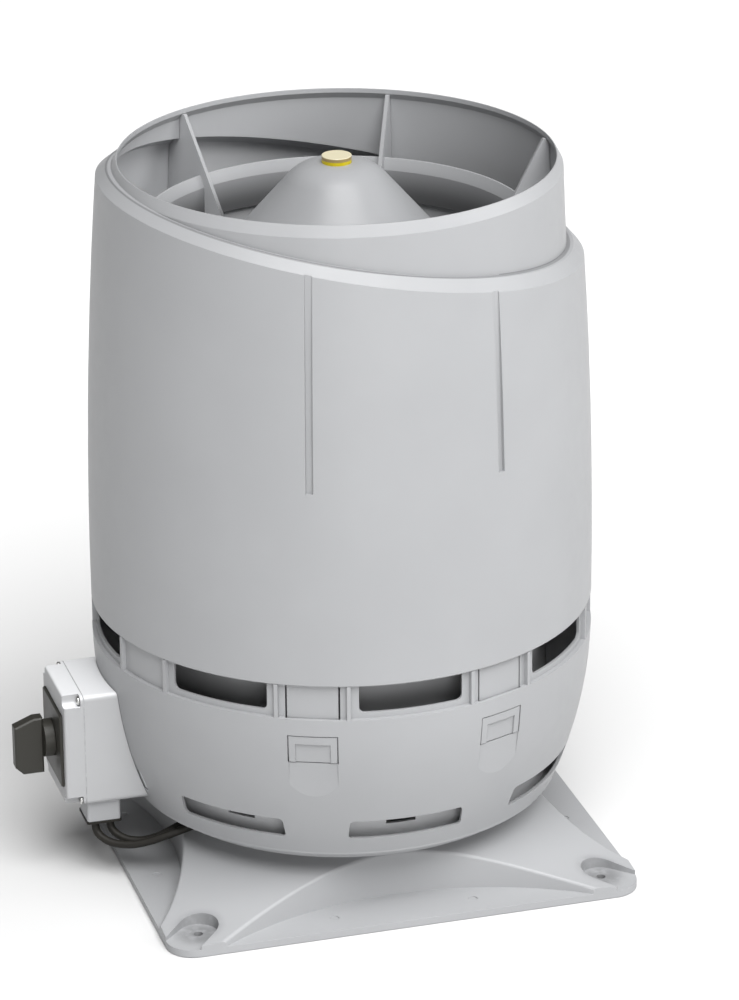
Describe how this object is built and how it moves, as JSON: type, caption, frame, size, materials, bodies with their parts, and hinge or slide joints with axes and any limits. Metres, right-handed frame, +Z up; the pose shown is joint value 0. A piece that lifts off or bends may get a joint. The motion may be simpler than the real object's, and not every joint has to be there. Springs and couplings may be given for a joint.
{
  "type": "roof exhaust fan",
  "caption": "Vertical-discharge roof exhaust fan: barrel jacket with slanted shoulder, windowed bowl housing on a square roof base, side isolator switch and a backward-curved impeller.",
  "frame": {"origin": "centre of the duct spigot at the underside of the square base", "axes": "+Z up along the duct and impeller axis, -Y the pictured front, -X the isolator switch"},
  "size_m": [0.5913, 0.5013, 0.7192],
  "materials": {
    "housing_plastic": "satin moulded",
    "inner_plastic": "satin moulded",
    "cover_plastic": "semi-gloss",
    "dark_plastic": "satin moulded",
    "rubber": "matt",
    "steel": "zinc plated",
    "motor_metal": "cast",
    "level_clear": "clear amber",
    "level_liquid": "yellow liquid"
  },
  "bodies": {
    "housing": {"base_flange": "housing_plastic", "lower_housing": "housing_plastic", "jacket": "housing_plastic", "diffuser": "housing_plastic", "isolator_base": "housing_plastic", "isolator_lid": "housing_plastic", "cable_entry": "housing_plastic", "fan_casing": "inner_plastic", "inlet_cone": "inner_plastic", "motor_cover": "cover_plastic", "isolator_escutcheon": "dark_plastic", "isolator_switch": "dark_plastic", "cable_entry_pad": "rubber", "collar_gland": "rubber", "isolator_gasket": "rubber", "supply_cable": "rubber", "motor_cable": "rubber", "housing_screws": "steel", "cone_screws": "steel", "plate_screws": "steel", "stator_screws": "steel", "isolator_lid_screws": "steel", "isolator_box_screws": "steel", "bearing_lower": "steel", "bearing_upper": "steel", "motor_stator": "motor_metal", "motor_plate": "motor_metal", "level_body": "level_clear", "level_liquid": "level_liquid"},
    "impeller": {"impeller": "dark_plastic", "impeller_screws": "steel", "motor_rotor": "motor_metal", "motor_shaft": "steel"},
    "switch_handle": {"isolator_handle": "dark_plastic", "isolator_spindle": "steel"},
    "latch_1": {"latch_1": "housing_plastic"},
    "latch_2": {"latch_2": "housing_plastic"},
    "latch_3": {"latch_3": "housing_plastic"},
    "latch_4": {"latch_4": "housing_plastic"}
  },
  "joints": [
    {"name": "impeller_spin", "type": "hinge", "parent": "housing", "child": "impeller", "pos_m": [0, 0, 0.28], "axis": [0, 0, 1], "continuous": true},
    {"name": "switch_turn", "type": "hinge", "parent": "housing", "child": "switch_handle", "pos_m": [-0.32, 0, 0.1396], "axis": [1, 0, 0], "range_deg": [0, 90]},
    {"name": "latch_1_press", "type": "hinge", "parent": "housing", "child": "latch_1", "pos_m": [-0.09184, 0.22173, 0.2945], "axis": [-0.9239, -0.3827, 0], "range_deg": [0, 3.5], "stiffness_Nm_per_rad": 2},
    {"name": "latch_2_press", "type": "hinge", "parent": "housing", "child": "latch_2", "pos_m": [-0.09184, -0.22173, 0.2945], "axis": [0.9239, -0.3827, 0], "range_deg": [0, 3.5], "stiffness_Nm_per_rad": 2},
    {"name": "latch_3_press", "type": "hinge", "parent": "housing", "child": "latch_3", "pos_m": [0.09184, -0.22173, 0.2945], "axis": [0.9239, 0.3827, 0], "range_deg": [0, 3.5], "stiffness_Nm_per_rad": 2},
    {"name": "latch_4_press", "type": "hinge", "parent": "housing", "child": "latch_4", "pos_m": [0.09184, 0.22173, 0.2945], "axis": [-0.9239, 0.3827, 0], "range_deg": [0, 3.5], "stiffness_Nm_per_rad": 2}
  ]
}
